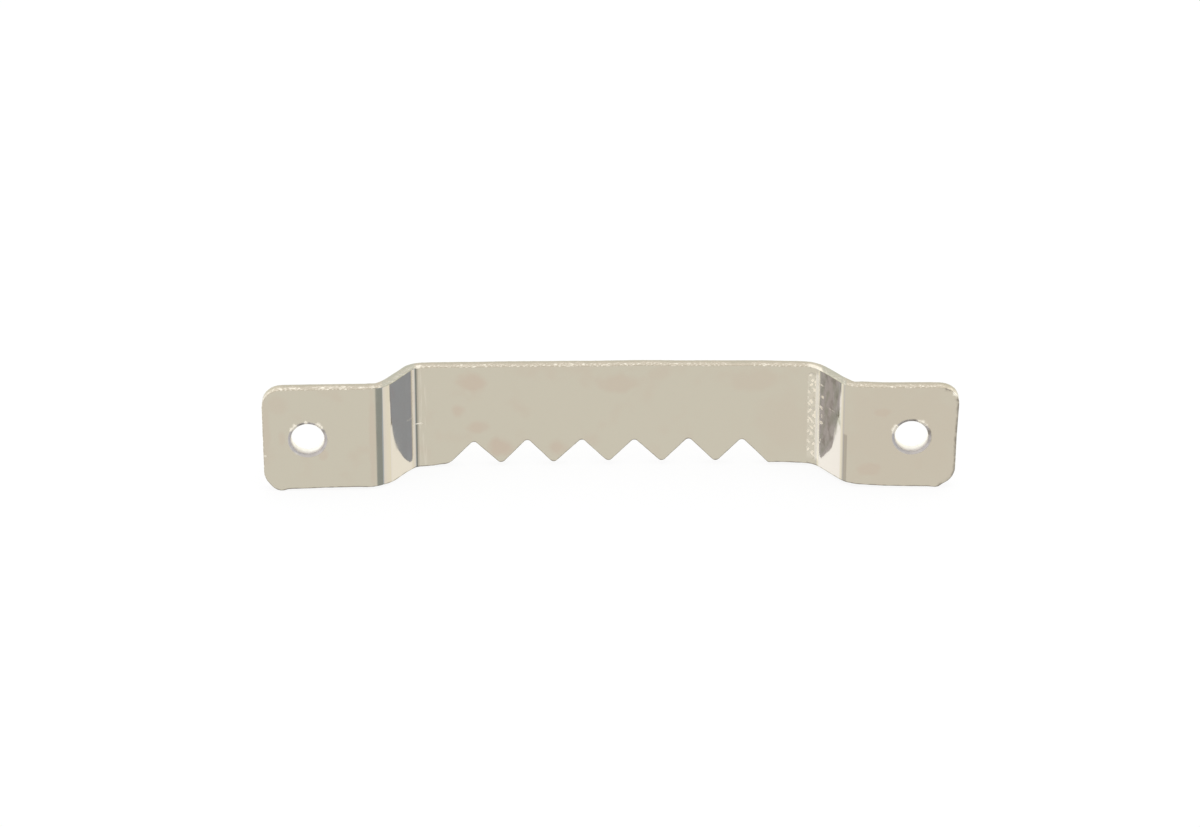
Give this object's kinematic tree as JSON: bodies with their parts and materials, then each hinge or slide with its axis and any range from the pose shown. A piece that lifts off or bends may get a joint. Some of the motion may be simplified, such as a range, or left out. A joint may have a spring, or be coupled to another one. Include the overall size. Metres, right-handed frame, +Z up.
{
  "type": "sawtooth picture hanger",
  "caption": "Pressed metal strip with screw tabs at its ends and a raised toothed bridge between them, for hanging a picture frame on a nail and levelling it.",
  "frame": {"origin": "midway between the centres of the two screw holes, on the plane of the tabs' backs, which lie against the picture frame", "axes": "+X along the strip to the right, as seen from the picture frame; +Y away from the frame, towards the wall, the way the bridge is raised; +Z up as it hangs, from the toothed edge to the plain edge"},
  "size_m": [0.063, 0.0057, 0.01],
  "materials": {
    "plated_steel": "bright nickel plate on pressed steel strip, faintly mottled, with sheared edges"
  },
  "bodies": {
    "root": {"hanger_strip": "plated_steel"}
  },
  "joints": []
}
